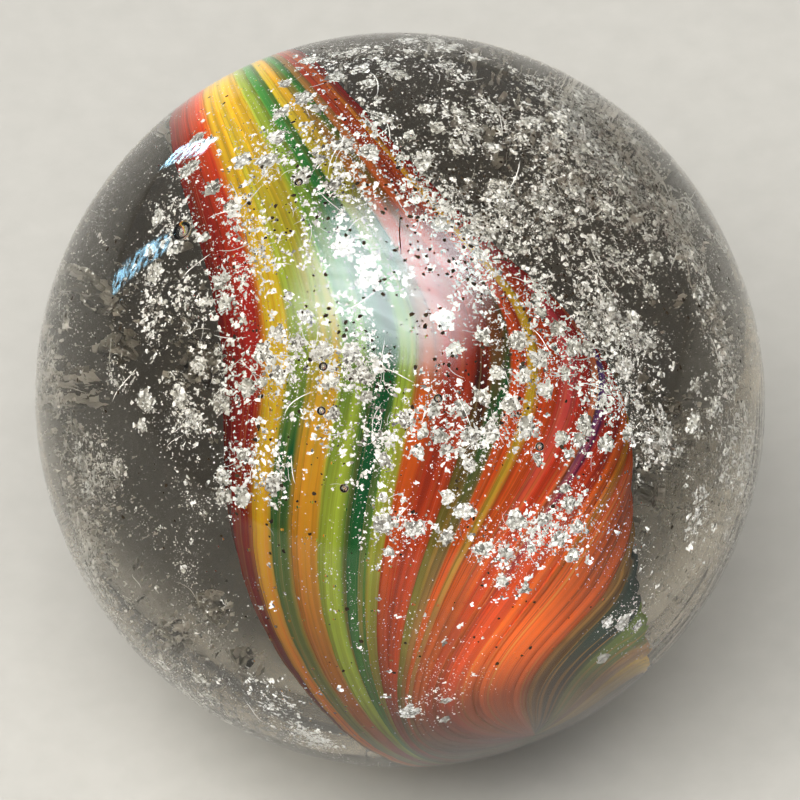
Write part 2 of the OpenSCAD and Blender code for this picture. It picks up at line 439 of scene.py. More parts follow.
def strandMesh(i):
    name = strandNames[i] + "_strand_glass"
    columns = max(cane["fewestColumns"], round((seams[i + 1] - seams[i]) / cane["columnWidth"]))
    verts, skinPlaces, strandPlaces = [], [], []
    for z in heights:
        along = (topZ - z) / (topZ - tipZ)
        cx, cy = caneAxis(z)
        left, right = seamAt(i, z), seamAt(i + 1, z)
        verts.append(placed(cx, cy, z))
        skinPlaces.append((mix(seams[i], seams[i + 1], 0.5) / 360 + 1, along))
        strandPlaces.append((0.5, along))
        for j in range(columns + 1):
            across = j / columns
            verts.append(skinPoint(z, mix(left, right, across), cane["ridge"] * sin(pi * across)))
            skinPlaces.append((mix(seams[i], seams[i + 1], across) / 360 + 1, along))
            strandPlaces.append((across, along))
    n = columns + 2
    faces = []
    for k in range(len(heights) - 1):
        for j in range(n):
            a, b = k * n + j, k * n + (j + 1) % n
            faces.append((a, a + n, b + n, b))
    faces.append(tuple(range(n)))
    faces.append(tuple((len(heights) - 1) * n + j for j in reversed(range(n))))
    mesh = newMesh(name, verts, faces)
    for uvName, places in (("skin", skinPlaces), ("strand", strandPlaces)):
        layer = mesh.uv_layers.new(name=uvName)
        for loop in mesh.loops:
            layer.data[loop.index].uv = places[loop.vertex_index]
    mesh.shade_smooth()
    mesh.set_sharp_from_angle(angle=radians(cane["sharp"]))
    return mesh


# Strand glass: coloured rods laid side by side and drawn out. The eye gets clear bands
# that melt into each other, with a few light and dark threads along the twist.

streaks = {
    "broad": 5.0, "fine": 1.8, "vein": 2.6, "hair": 0.8,  # degrees of skin to one streak
    "length": 10,                            # mm along the cane
    "seam": 0.17, "seamSway": 0.3,           # share of the strand's width that melts, and sways
    "stops": (0.16, 0.38, 0.55, 0.80),       # places of the four rods along the cane
    "stopSway": 0.22,
    # Streak from and to, then what it gives from and to
    "broadTone": (0.32, 0.62, 0.96, 1.28), "fineTone": (0.34, 0.54, 0.84, 1.08),
    "lightHair": (0.64, 0.74, 0.0, 0.32), "darkHair": (0.33, 0.26, 0.0, 0.3),
    "goldVein": (0.62, 0.68, 0.0, 0.75), "darkVein": (0.36, 0.31, 0.0, 0.45),
    # Place along the cane from and to, then how strong a vein is there
    "goldFoot": (0.62, 0.80, 0.12, 0.75), "darkFoot": (0.55, 0.80, 0.3, 1.0),
    "light": "FFE2A0", "lightShare": 0.45, "gold": "F2B04A", "dark": "6A4030",
}
footHazeAndShade = {
    "colour": "5C3E20", "from": 0.60, "to": 0.88,  # brown haze at the foot, places along the cane
    "patch": 2.2, "raggedness": 0.62,  # mm, and how ragged its cloud is
    "patches": (0.34, 0.66, 0.5, 0.85),  # cloud from and to, haze from and to
    # Painted shade: the end colour darkens the lower end of each strand, from one place along the cane to
    # another, at most by so much
    "end": "2A160C", "footShadeFrom": 0.875, "footShadeSooner": 0.14, "footShadeTo": 0.96, "footShadeMost": 0.86,
    # Share of that haze where it is thinner than over the rest
    "thinner": {"ruby": 0.9, "cardinal": 0.7, "coral": 0.6, "violet": 0.55, "crimson": 0.35, "orange": 0.25,
                "straw": 0.2, "persimmon": 0.22, "rust": 0.28, "honey": 0.6, "dark_teal": 0.25, "moss": 0.4,
                "copper": 0.3, "ochre": 0.3},
}


def strandGlass(i):
    name = strandNames[i]
    neighbours = [strands[strandNames[(i + step) % len(strands)]][1:] for step in (-1, 1)]
    material, tree = newMaterial(name.replace("_", " ") + " glass rod, drawn and twisted")
    skin = addNode(tree, "ShaderNodeUVMap", uv_map="skin")
    strand = addNode(tree, "ShaderNodeUVMap", uv_map="strand")
    own = addNode(tree, "ShaderNodeSeparateXYZ", {0: strand}).outputs
    lengths = (topZ - tipZ) / streaks["length"]

    def streak(width, detail, shift):
        spread = addNode(tree, "ShaderNodeMapping", {
            "Vector": skin, "Scale": (360 / width, lengths, 1), "Location": (shift, shift, 0)})
        return addNode(tree, "ShaderNodeTexNoise", {"Vector": spread, "Scale": 1.0, "Detail": detail})

    def swayed(value, by, size):
        # The streak is about a half in the middle, so half of its size comes off again
        added = addNode(tree, "ShaderNodeMath", {0: by, 1: size, 2: value}, operation="MULTIPLY_ADD")
        return addNode(tree, "ShaderNodeMath", {0: added, 1: size / 2}, operation="SUBTRACT")

    def toned(under, value, span):
        # A colour made darker and lighter by a streak
        tone = addNode(tree, "ShaderNodeMapRange", {"Value": value, **dict(zip(spanNames, span))},
                       interpolation_type="SMOOTHSTEP")
        return addNode(tree, "ShaderNodeMix", {0: 1.0, 6: under, 7: tone},
                       data_type="RGBA", blend_type="MULTIPLY").outputs[2]

    def over(under, top, *parts):
        # One colour over another, as far as each value is through its span
        amount = None
        for value, span in parts:
            share = addNode(tree, "ShaderNodeMapRange", {"Value": value, **dict(zip(spanNames, span))},
                            interpolation_type="SMOOTHSTEP")
            amount = share if amount is None else addNode(
                tree, "ShaderNodeMath", {0: amount, 1: share}, operation="MULTIPLY")
        return addNode(tree, "ShaderNodeMix", {0: amount, 6: under, 7: top}, data_type="RGBA").outputs[2]

    broad = streak(streaks["broad"], 1, 0)
    fine = streak(streaks["fine"], 2, 7)
    hair = streak(streaks["hair"], 1, 3)
    vein = streak(streaks["vein"], 0, 11)
    along = swayed(own[1], broad, streaks["stopSway"])

    def rodColours(four):
        ramp = addNode(tree, "ShaderNodeValToRGB", {"Fac": along})
        setRamp(ramp, [(stop, rods[rod]) for stop, rod in zip(streaks["stops"], four)])
        return ramp

    place = swayed(own[0], fine, streaks["seamSway"])
    seam = streaks["seam"]
    colour = rodColours(strands[name][1:])
    colour = over(colour, rodColours(neighbours[0]), (place, (seam, -seam, 0, 1)))
    colour = over(colour, rodColours(neighbours[1]), (place, (1 - seam, 1 + seam, 0, 1)))
    colour = toned(colour, broad, streaks["broadTone"])
    colour = toned(colour, fine, streaks["fineTone"])
    lighter = addNode(tree, "ShaderNodeMix", {
        0: streaks["lightShare"], 6: colour, 7: toLinear(streaks["light"])}, data_type="RGBA")
    colour = over(colour, lighter.outputs[2], (hair, streaks["lightHair"]))
    golden = over(colour, toLinear(streaks["gold"]), (own[1], streaks["goldFoot"]))
    colour = over(colour, golden, (vein, streaks["goldVein"]))
    darker = addNode(tree, "ShaderNodeMix", {
        0: 1.0, 6: colour, 7: toLinear(streaks["dark"])}, data_type="RGBA", blend_type="MULTIPLY").outputs[2]
    shadow = over(colour, darker, (own[1], streaks["darkFoot"]))
    colour = over(colour, shadow, (vein, streaks["darkVein"]))
    colour = over(colour, darker, (hair, streaks["darkHair"]))
    cloud = addNode(tree, "ShaderNodeTexNoise", {
        "Vector": addNode(tree, "ShaderNodeTexCoord").outputs["Object"],
        "Scale": 1 / (footHazeAndShade["patch"] * mm), "Detail": 5, "Roughness": footHazeAndShade["raggedness"]})
    most = footHazeAndShade["thinner"].get(name, 1.0)
    colour = over(colour, toLinear(footHazeAndShade["colour"]), (own[1], (footHazeAndShade["from"], footHazeAndShade["to"], 0, most)),
                  (cloud, footHazeAndShade["patches"]))
    # Painted shade: each strand turns darker towards its lower end, sooner where the brown haze is thicker
    sooner = footHazeAndShade["footShadeFrom"] - footHazeAndShade["footShadeSooner"] * most
    colour = over(colour, toLinear(footHazeAndShade["end"]), (own[1], (sooner, footHazeAndShade["footShadeTo"], 0, footHazeAndShade["footShadeMost"])))
    shader = addNode(tree, "ShaderNodeBsdfPrincipled", {
        "Base Color": colour, "Roughness": 0.5, "Specular IOR Level": 0.0})
    addNode(tree, "ShaderNodeOutputMaterial", {"Surface": shader})
    return material


for i, name in enumerate(strandNames):
    piece = addPiece(name + "_strand_glass", strandMesh(i), strandGlass(i))
    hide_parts(name + "_strand")
    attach(piece, "root")
print("strands done,", len(strandNames))


# Mica: crushed flakes rolled into the glass, in ragged clumps on one layer round the cane.
# Each leaf lies where the solid flake lies; the smaller bits follow the leaves.

mica = {
    "ragged": 0.45, "crinkle": 0.07, "leafThickness": 0.03,  # share of the width, then mm
    "plateau": 0.55,                             # of the width, the raised middle of a leaf
    "caneGap": 0.6, "cover": 1.2, "depth": 0.5,  # mm of clear glass inside and outside the layer
    "rings": 120, "segments": 240, "upTo": 66,  # degrees up and down that the layer reaches
    "nearby": 0.5, "seed": 7,  # mm, how far the strays keep to the leaves
    "leafShine": 0.3, "creaseSize": 0.05, "creaseDepth": 0.04,  # share, then mm
    "swellSize": 4, "swell": (0.3, 0.7),  # mm to one swell of the layer, and its cloud from and to
    "fewLarge": 2.2,                      # how few bits are large
    # Painted glint and painted shade: tones from the dullest bit to the brightest, picked at random for each
    # bit
    "tones": [(0.0, "3E3C38"), (0.12, "9A9890"), (0.28, "E2E1DC"), (0.45, "FFFFFF")],
}
# How thick on the layer: near the leaves, in the drifts, and between
layers = {"thick": (0.35, 1.0, 0.015), "thin": (0.3, 0.8, 0.38), "close": (1.0, 0.5, 0.0)}
# Patches: coarse and fine swing with mm to a patch, then what shapes them
patches = {
    "middle": 0.5, "coarse": 1.3, "coarseSize": 1.8, "fine": 0.9, "fineSize": 0.6,
    "gain": 2.4, "less": 0.3, "most": 1.5, "drift": 0.9, "driftPower": 1.5,
}
# How many to a square mm, smallest and largest, how far they spread aside and how far they drift
# along the swell, all in mm, the tilt in radians, and how far beyond the ball's skin one may lie
bitNames = ("Per square metre", "Smallest", "Largest", "Spread", "Drift", "Tilt", "Reach")
bits = {
    "shards": (92, 0.09, 0.22, 0.05, 0.05, 0.45, -0.4),
    "crumbs": (60, 0.05, 0.15, 0.24, 0.1, 0.9, -0.4),
    "strays": (58, 0.15, 0.42, 0.16, 0.5, 0.7, -0.7),
    "dust": (98, 0.02, 0.09, 0.3, 1.6, 1.5, -0.4),
    "frost": (150, 0.03, 0.11, 0.28, 0.25, 1.5, -0.4),
    "threads": (2.6, 0.5, 1.4, 0.3, 0.5, 0.3, -1.2),
    # grime: specks of painted shade in the pits
    "grime": (26, 0.06, 0.19, 0.0, 0.0, 0.0, 1),
}
drifts = [
    # degrees round, degrees up, reach in degrees: where the strays lie thickest
    (-146, 9, 4), (-126, 4, 3), (-119, -1, 3), (-111, -3, 4), (-126, -6, 3), (-102, 23, 5),
    (-114, -12, 3), (-106, -12, 4), (-99, -15, 4), (-93, -17, 3), (-86, -14, 3), (-68, -16, 4),
    (-70, 0, 4), (-57, -4, 5), (-53, -10, 4), (-54, -25, 4), (-76, 9, 4), (-64, 8, 4),
    (-56, 12, 5), (-48, 16, 5), (-42, 23, 5), (-35, 19, 5), (-28, 19, 5), (-12, 15, 5),
    (-41, 4, 4), (-30, 7, 5), (-20, 7, 5), (-88, 48, 4), (-101, 31, 5),
    (-82, 26, 3), (-66, 24, 3), (-56, 24, 4), (-55, 38, 3), (-36, 30, 5), (-88, -34, 3),
    (-58, -58, 3), (-147, 29, 3), (-128, 27, 4), (-135, 15, 4), (-116, 34, 4), (-118, -25, 3),
    (-155, 1, 5), (-86, 32, 3), (-30, 28, 5), (-22, 24, 5), (-38, 12, 5), (-16, 4, 4),
    (-24, -12, 5), (-30, -28, 5), (-14, -22, 5), (-42, -38, 4), (-170, 12, 3), (-156, 16, 4),
    (-79, 4, 5), (-84, 5, 4), (-110, 21, 5), (-125, 19, 4), (-139, -9, 5), (-143, 6, 5),
    (-123, -9, 4), (-55, 2, 6), (-100, -11, 4), (-73, -2, 4), (-60, -14, 5),
    (-45, 12, 5), (-144, 17, 4), (-23, 3, 4), (-44, 26, 3),
    (172, -49, 5), (-176, -40, 5), (-86, 19, 4),
    (-104, 12, 4), (-98, 8, 3), (-109, 6, 3), (-92, 11, 3), (-101, 17, 3), (-65, 12, 5), (-58, 0, 5),
    (-142, -8, 4), (-61, -14, 4), (-90, -17, 4), (-155, 2, 5), (-113, 17, 4), (-121, 4, 3),
    (-110, 2, 4), (-82, 16, 4), (-54, 4, 4),
    (-72, 11, 3), (-65, 9, 3), (-79, 12, 3), (-26, 16, 4), (-44, 13, 4), (-42, 27, 3),
    (-62, -4, 3), (-136, -10, 3), (-141, 10, 3), (-141, 28, 3), (-53, -14, 3),
]
# The far side of the ball, laid by chance
backDrifts = {"count": 38, "around": (18, 148), "up": (-56, 58), "reach": (3, 6.5)}
pick = random.Random(mica["seed"] + 9)
spans = [backDrifts[name] for name in ("around", "up", "reach")]
drifts += [tuple(pick.uniform(*span) for span in spans) for k in range(backDrifts["count"])]


def flakeSolids():
    solid = bmesh.new()
    solid.from_mesh(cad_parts["mica_flakes"].data)
    bmesh.ops.remove_doubles(solid, verts=solid.verts, dist=0.0005 * mm)
    waiting = set(solid.verts)
    found = []
    for start in solid.verts:
        if start not in waiting:
            continue
        waiting.discard(start)
        queue, flake = [start], []
        while queue:
            vert = queue.pop()
            flake.append(vert)
            for edge in vert.link_edges:
                other = edge.other_vert(vert)
                if other in waiting:
                    waiting.discard(other)
                    queue.append(other)
        face = max((f for v in flake for f in v.link_faces), key=lambda f: f.calc_area())
        middle = sum((v.co for v in flake), Vector()) / len(flake)
        found.append((middle, face.normal.copy(), [v.co.copy() for v in flake]))
    solid.free()
    return found


def leafMesh(flakes):
    verts, faces = [], []
    pick = random.Random(mica["seed"])
    for middle, normal, points in flakes:
        side = normal.orthogonal().normalized()
        other = normal.cross(side)
        rim = [p - middle for p in points if (p - middle).dot(normal) > 0]
        rim.sort(key=lambda p: atan2(p.dot(other), p.dot(side)))
        edge = []
        for k, corner in enumerate(rim):
            following = rim[(k + 1) % len(rim)]
            for t in (0.0, 0.5):
                p = corner.lerp(following, t)
                p -= normal * p.dot(normal)
                edge.append(p * (1 - mica["ragged"] * pick.random() ** 2))
        half = normal * mica["leafThickness"] / 2 * mm
        first, n = len(verts), len(edge)
        for lift, share in ((half, 1.0), (half, mica["plateau"]), (-half, 1.0)):
            for p in edge:
                crinkle = pick.uniform(-1, 1) * mica["crinkle"] * mm if share < 1 else 0
                verts.append(middle + p * share + lift + normal * crinkle)
        verts.extend([middle + half * 2, middle - half])
        for k in range(n):
            a, b = first + k, first + (k + 1) % n
            faces.append((a, b, b + n, a + n))
            faces.append((a + n, b + n, first + 3 * n))
            faces.append((b, a, a + 2 * n, b + 2 * n))
            faces.append((b + 2 * n, a + 2 * n, first + 3 * n + 1))
    return newMesh("mica_leaves", verts, faces, [1.0] * len(verts))


def layerReach(z):
    z = max(min(z, topZ), tipZ)
    cx, cy = caneAxis(z)
    inner = halfSize(z, cane["topW"], cane["bellyW"]) + hypot(cx, cy) + mica["caneGap"]
    return mix(inner, ballReach(z) - mica["cover"], mica["depth"])


def driftAt(around, up):
    level = cos(radians(up))
    nearest = min((((around - middle + 180) % 360 - 180) * level / reach) ** 2 + ((up - height) / reach) ** 2
                  for middle, height, reach in drifts)
    return exp(-nearest)


def layerPoints(flakes):
    tree = kdtree.KDTree(len(flakes))
    for k, (middle, normal, points) in enumerate(flakes):
        tree.insert(middle, k)
    tree.balance()
    rings, segments = mica["rings"], mica["segments"]
    found = []
    for k in range(rings + 1):
        up = mix(mica["upTo"], -mica["upTo"], k / rings)
        z = heightAt(up)
        for j in range(segments):
            around = 360 * j / segments - 180
            point = polar(layerReach(z), around, z)
            away = tree.find(point)[2] / (mica["nearby"] * mm)
            patch = (patches["middle"]
                     + patches["coarse"] * noise.noise(point / (patches["coarseSize"] * mm))
                     + patches["fine"] * noise.noise(point / (patches["fineSize"] * mm)))
            drift = driftAt(around, up)
            patch = max(min(patches["gain"] * patch - patches["less"], patches["most"]),
                        patches["drift"] * drift ** patches["driftPower"])
            found.append((point, exp(-away * away), drift, patch))
    return found


def layerMesh(found, nearLeaves, inDrifts, between, side=None):
    rings, segments = mica["rings"], mica["segments"]
    faces = []
    for k in range(rings):
        for j in range(segments):
            a, b = k * segments + j, k * segments + (j + 1) % segments
            faces.append((a, a + segments, b + segments, b))
    strength = [(nearLeaves * leaf + inDrifts * drift + between) * patch
                if side is None or point.dot(side) > 0 else 0.0 for point, leaf, drift, patch in found]
    return newMesh("mica_layer", [row[0] for row in found], faces, strength)


# One chip, all in shares of its size
chip = {"sway": 0.3, "reach": (0.34, 0.62), "peak": 0.12, "thickness": 0.2, "speckReach": (0.3, 0.6)}


def addChip(verts, faces, pick, middle, size, corners, lean, thickness=chip["thickness"]):
    first = len(verts)
    leanX, leanY = pick.uniform(-lean, lean), pick.uniform(-lean, lean)
    for j in range(corners):
        a = 2 * pi * (j + pick.uniform(-chip["sway"], chip["sway"])) / corners
        r = pick.uniform(*chip["reach"]) * size
        x, y = r * cos(a), r * sin(a)
        verts.append(middle + Vector((x, y, leanX * x + leanY * y)))
    for side in (0.5, -0.5):
        off = [pick.uniform(-chip["peak"], chip["peak"]) for k in range(2)]
        verts.append(middle + Vector((off[0], off[1], side * thickness)) * size)
    for j in range(corners):
        n = (j + 1) % corners
        faces.append((first + j, first + n, first + corners))
        faces.append((first + n, first + j, first + corners + 1))


cluster = {"smallest": 0.24, "largest": 0.52, "reach": 0.42, "depth": 0.3, "lean": 0.5}


def clusterPiece(k, count, smallest, largest, reach):
    # A few faceted chips that touch, as one small crystal
    pick = random.Random(100 + k)
    verts, faces = [], []
    for c in range(count):
        away, a = reach * sqrt(c / count), pick.uniform(0, 2 * pi)
        middle = Vector((away * cos(a), away * sin(a),
                         pick.uniform(-cluster["depth"], cluster["depth"]) * reach))
        size = pick.uniform(smallest, largest)
        addChip(verts, faces, pick, middle, size, 4 + pick.randrange(2), cluster["lean"])
    return addPiece("mica_cluster", newMesh("mica_cluster", verts, faces))


sliver = {"bend": (0.3, 1.3), "steps": 7, "half": 0.014, "taper": 0.8, "wave": 0.05, "waves": 5}


def threadPiece(k):
    # A sliver of mica seen edge on, as a bent thread
    pick = random.Random(300 + k)
    bend = pick.uniform(*sliver["bend"])
    verts, faces = [], []
    steps = sliver["steps"]
    for j in range(steps + 1):
        t = j / steps - 0.5
        middle = Vector((sin(bend * t) / bend, (1 - cos(bend * t)) / bend,
                         sliver["wave"] * sin(sliver["waves"] * t)))
        half = sliver["half"] * (1 - sliver["taper"] * abs(2 * t) ** 3)
        for a in (0, 120, 240):
            turn = radians(a)
            verts.append(middle + Vector((0, half * cos(turn), half * sin(turn))))
    for j in range(steps):
        for c in range(3):
            a, b = 3 * j + c, 3 * j + (c + 1) % 3
            faces.append((a, b, b + 3, a + 3)[::-1])
    faces += [(0, 1, 2)[::-1], (3 * steps, 3 * steps + 1, 3 * steps + 2)]
    mesh = newMesh("mica_thread", verts, faces)
    faceOut(mesh)
    return addPiece("mica_thread", mesh)


def speckPiece(k):
    # The least grain: four faces
    pick = random.Random(200 + k)
    span = chip["speckReach"]
    verts = [(pick.uniform(*span) * x, pick.uniform(*span) * y, chip["thickness"] * z)
             for x, y, z in ((1, 0, -1), (-0.5, 0.87, -1), (-0.5, -0.87, -1), (0, 0, 1))]
    faces = [(0, 2, 1), (0, 1, 3), (1, 2, 3), (2, 0, 3)]
    return addPiece("mica_speck", newMesh("mica_speck", verts, faces))


def micaGlint():
    # Muscovite, split and crushed: the eye gets silver leaf that runs from white to grey; each bit's tone is
    # picked at random as painted glint and painted shade
    material, tree = newMaterial("muscovite mica, crushed")
    shine = addNode(tree, "ShaderNodeAttribute", attribute_name="shine", attribute_type="GEOMETRY")
    tone = addNode(tree, "ShaderNodeValToRGB", {"Fac": shine.outputs["Fac"]})
    setRamp(tone, mica["tones"])
    place = addNode(tree, "ShaderNodeTexCoord").outputs["Object"]
    crease = addNode(tree, "ShaderNodeTexNoise", {
        "Vector": place, "Scale": 1 / (mica["creaseSize"] * mm)})
    bump = addNode(tree, "ShaderNodeBump", {
        "Height": crease, "Strength": 0.8, "Distance": mica["creaseDepth"] * mm})
    shader = addNode(tree, "ShaderNodeBsdfPrincipled", {
        "Base Color": tone, "Metallic": 0.12, "Roughness": 0.3, "Normal": bump})
    addNode(tree, "ShaderNodeOutputMaterial", {"Surface": shader})
    return material


def scatterTree(kinds, material):
    tree = bpy.data.node_groups.new("scatterMica", "GeometryNodeTree")
    sockets = [("Geometry", "Geometry"), *[(name, "Float") for name in bitNames], ("Seed", "Int")]
    for name, kind in sockets:
        tree.interface.new_socket(name, in_out="INPUT", socket_type="NodeSocket" + kind)
    tree.interface.new_socket("Geometry", in_out="OUTPUT", socket_type="NodeSocketGeometry")
    given = addNode(tree, "NodeGroupInput").outputs

    def anyWay(seed, size):
        value = addNode(tree, "FunctionNodeRandomValue", {
            "Min": (-1.0, -1.0, -1.0), "Max": (1.0, 1.0, 1.0), "Seed": seed}, data_type="FLOAT_VECTOR")
        return addNode(tree, "ShaderNodeVectorMath", {0: value, 1: size}, operation="MULTIPLY")

    strength = addNode(tree, "GeometryNodeInputNamedAttribute", {"Name": "strength"})
    density = addNode(tree, "ShaderNodeMath", {
        0: strength.outputs["Attribute"], 1: given["Per square metre"]}, operation="MULTIPLY")
    points = addNode(tree, "GeometryNodeDistributePointsOnFaces", {
        "Mesh": given["Geometry"], "Density": density, "Seed": given["Seed"]})
    place = addNode(tree, "GeometryNodeInputPosition")
    swell = addNode(tree, "ShaderNodeTexNoise", {"Vector": place, "Scale": 1 / (mica["swellSize"] * mm)})
    swellBy = addNode(tree, "ShaderNodeMapRange", {
        "Value": swell, **dict(zip(spanNames, (*mica["swell"], -1, 1)))})
    depth = addNode(tree, "ShaderNodeMath", {0: swellBy, 1: given["Drift"]}, operation="MULTIPLY")
    along = addNode(tree, "ShaderNodeVectorMath", {0: points.outputs["Normal"], "Scale": depth},
                    operation="SCALE")
    jitter = addNode(tree, "ShaderNodeCombineXYZ", {k: given["Spread"] for k in range(3)})
    offset = addNode(tree, "ShaderNodeVectorMath", {0: along, 1: anyWay(3, jitter)})
    moved = addNode(tree, "GeometryNodeSetPosition", {"Geometry": points, "Offset": offset})
    spin = addNode(tree, "ShaderNodeCombineXYZ", {0: given["Tilt"], 1: given["Tilt"], 2: pi})
    turned = addNode(tree, "FunctionNodeRotateRotation", {
        "Rotation": points.outputs["Rotation"], "Rotate By": anyWay(4, spin)}, rotation_space="LOCAL")
    luck = addNode(tree, "FunctionNodeRandomValue", {"Seed": 5}).outputs[1]
    fewLarge = addNode(tree, "ShaderNodeMath", {0: luck, 1: mica["fewLarge"]}, operation="POWER")
    size = addNode(tree, "ShaderNodeMapRange", {
        "Value": fewLarge, "To Min": given["Smallest"], "To Max": given["Largest"]})
    away = addNode(tree, "ShaderNodeVectorMath", {0: place}, operation="LENGTH")
    within = addNode(tree, "FunctionNodeCompare", {0: away.outputs["Value"], 1: given["Reach"]},
                     operation="LESS_THAN")
    chips = addNode(tree, "GeometryNodeGeometryToInstance")
    for kind in kinds:
        info = addNode(tree, "GeometryNodeObjectInfo", {"Object": kind})
        tree.links.new(info.outputs["Geometry"], chips.inputs[0])
    laid = addNode(tree, "GeometryNodeInstanceOnPoints", {
        "Points": moved, "Selection": within, "Instance": chips,
        "Pick Instance": True, "Rotation": turned, "Scale": size})
    real = addNode(tree, "GeometryNodeRealizeInstances", {"Geometry": laid})
    # Each chip's random shine picks its tone: painted glint and painted shade
    eachChip = addNode(tree, "GeometryNodeInputMeshIsland").outputs["Island Index"]
    shine = addNode(tree, "FunctionNodeRandomValue", {"ID": eachChip, "Seed": 6}).outputs[1]
    marked = addNode(tree, "GeometryNodeStoreNamedAttribute", {
        "Geometry": real, "Name": "shine", "Value": shine})
    dressed = addNode(tree, "GeometryNodeSetMaterial", {"Geometry": marked, "Material": material})
    addNode(tree, "NodeGroupOutput", {0: dressed})
    return tree


def scattered(name, mesh, kinds, bit, seed, material):
    ground = addPiece("ground", mesh.copy())
    modifier = ground.modifiers.new("scatter", "NODES")
    modifier.node_group = scatterTree(kinds, material)
    count, smallest, largest, spread, drift, tilt, beyond = bits[bit]
    values = (count / mm ** 2, smallest * mm, largest * mm, spread * mm, drift * mm, tilt,
              (ball["radius"] + beyond) * mm)
    wanted = {**dict(zip(bitNames, values)), "Seed": seed}
    for item in modifier.node_group.interface.items_tree:
        if item.in_out == "INPUT" and item.name in wanted:
            modifier[item.identifier] = wanted[item.name]
    bpy.context.view_layer.update()
    made = bpy.data.meshes.new_from_object(ground.evaluated_get(bpy.context.evaluated_depsgraph_get()))
    made.name = name
    bpy.data.objects.remove(ground)
    return made


def joined(name, core, others):
    both = bmesh.new()
    shine = both.verts.layers.float.new("shine")
    both.from_mesh(core)
    pick = random.Random(mica["seed"] + 5)
    for vert in both.verts:
        vert[shine] = mica["leafShine"] * pick.random()
    for other in others:
        both.from_mesh(other)
    mesh = bpy.data.meshes.new(name)
    both.to_mesh(mesh)
    both.free()
    return mesh


glint = micaGlint()
chips = [clusterPiece(k, 1, 1.0, 1.0, 0.0) for k in range(6)]
clusterSizes = [cluster[name] for name in ("smallest", "largest", "reach")]
clusters = [clusterPiece(10 + k, 1 + k % 6, *clusterSizes) for k in range(10)]
specks = [speckPiece(k) for k in range(4)]
slivers = [threadPiece(k) for k in range(5)]
flakes = flakeSolids()
leaves = leafMesh(flakes)
found = layerPoints(flakes)
front = Vector((0, -1, 1))
thick, thin, close = [layerMesh(found, *layers[name]) for name in ("thick", "thin", "close")]
thickFront, thickBack = [layerMesh(found, *layers["thick"], side) for side in (front, -front)]
seed = mica["seed"]
crust = [scattered("mica_shards", leaves, chips, "shards", seed, glint),
         scattered("mica_crumbs", leaves, chips, "crumbs", seed + 1, glint)]
micaPieces = [addPiece("mica_flakes_silver", joined("mica_flakes_silver", leaves, crust))]
# Each further piece: its name, where it lies, its shapes, its row above and its step of the seed
rows = [
    ("mica_strays_front", thickFront, clusters, "strays", 2),
    ("mica_strays_back", thickBack, clusters, "strays", 5),
    ("mica_dust", thin, specks, "dust", 3),
    ("mica_frost", close, specks, "frost", 6),
    ("mica_threads", thick, slivers, "threads", 4),
]
for name, mesh, kinds, bit, step in rows:
    micaPieces.append(addPiece(name, scattered(name, mesh, kinds, bit, seed + step, glint)))
for spare in chips + clusters + specks + slivers:
    bpy.data.objects.remove(spare)
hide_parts("mica_flakes")
for piece in micaPieces:
    piece.data.materials.clear()
    piece.data.materials.append(glint)
    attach(piece, "root")
    piece.data.calc_loop_triangles()
    print("mica:", piece.name, len(piece.data.loop_triangles), "triangles")


# Pits and scratches: years of handling pit the surface. The eye gets fine dark points and a hairline or two
# where the glass shines; their dull dark brown is painted shade, where pits and scratches break the
# highlight.

worn = {
    "side": (0.04, -0.41, 0.91), "reach": 0.42,   # the middle of the highlight, where the specks of painted shade gather most, and radians from there
    "elsewhere": 0.08, "elsewhereReach": 1.2,
    "patchSize": 0.75, "gain": 3.2, "less": 0.35, "least": 0.04,  # mm, then how the patches swing
    "thickness": 0.035, "corners": 6, "seed": 11,
}
scratches = {
    "lines": [(-96.7, 15.0, -99.4, 8.5), (-83.5, 2.0, -86.5, 3.5)],  # degrees round and up, from and to
    "width": 0.045, "sway": 0.03, "proud": 0.002, "taper": 0.8, "steps": 8,  # mm, then a share
}


def skinMesh():
    verts, faces, strength = [], [], []
    addGlobe(verts, faces, ball["rings"], ball["segments"], ballPoint, True)
    side = Vector(worn["side"])
    for vert in verts:
        apart = vert.angle(side)
        patch = worn["gain"] * noise.noise(vert / (worn["patchSize"] * mm)) - worn["less"]
        wear = exp(-(apart / worn["reach"]) ** 2)
        if apart < worn["elsewhereReach"]:
            wear += worn["elsewhere"]
        strength.append(wear * min(max(patch, worn["least"]), 1))
    return newMesh("pit_shade_skin", verts, faces, strength)


# One speck of painted shade for a pit
def pitShadePiece(k):
    pick = random.Random(500 + k)
    verts, faces = [], []
    addChip(verts, faces, pick, Vector((0, 0, 0)), 1.0, worn["corners"], 0.0, worn["thickness"])
    return addPiece("grime", newMesh("grime", verts, faces))


# Hairline scratches, given the same painted shade
def scratchMesh():
    verts, faces = [], []
    half, steps = scratches["width"] / 2 * mm, scratches["steps"]
    for fromAround, fromUp, toAround, toUp in scratches["lines"]:
        first = len(verts)
        start, end = ballPoint(fromUp, fromAround), ballPoint(toUp, toAround)
        side = (end - start).cross(start).normalized()
        for j in range(steps + 1):
            t = j / steps
            sway = scratches["sway"] * mm * sin(4 * t)
            out = start.lerp(end, t).normalized()
            middle = out * mix(start.length, end.length, t) + side * sway
            wide = half * (1 - abs(2 * t - 1) ** 4 * scratches["taper"])
            verts += [middle + side * wide, middle + out * scratches["proud"] * mm,
                      middle - side * wide, middle - out * wide]
        for j in range(steps):
            for c in range(4):
                a, b = first + 4 * j + c, first + 4 * j + (c + 1) % 4
                faces.append((a, b, b + 4, a + 4))
        faces += [(first, first + 3, first + 2, first + 1),
                  tuple(first + 4 * steps + c for c in range(4))]
    return newMesh("scratches", verts, faces)


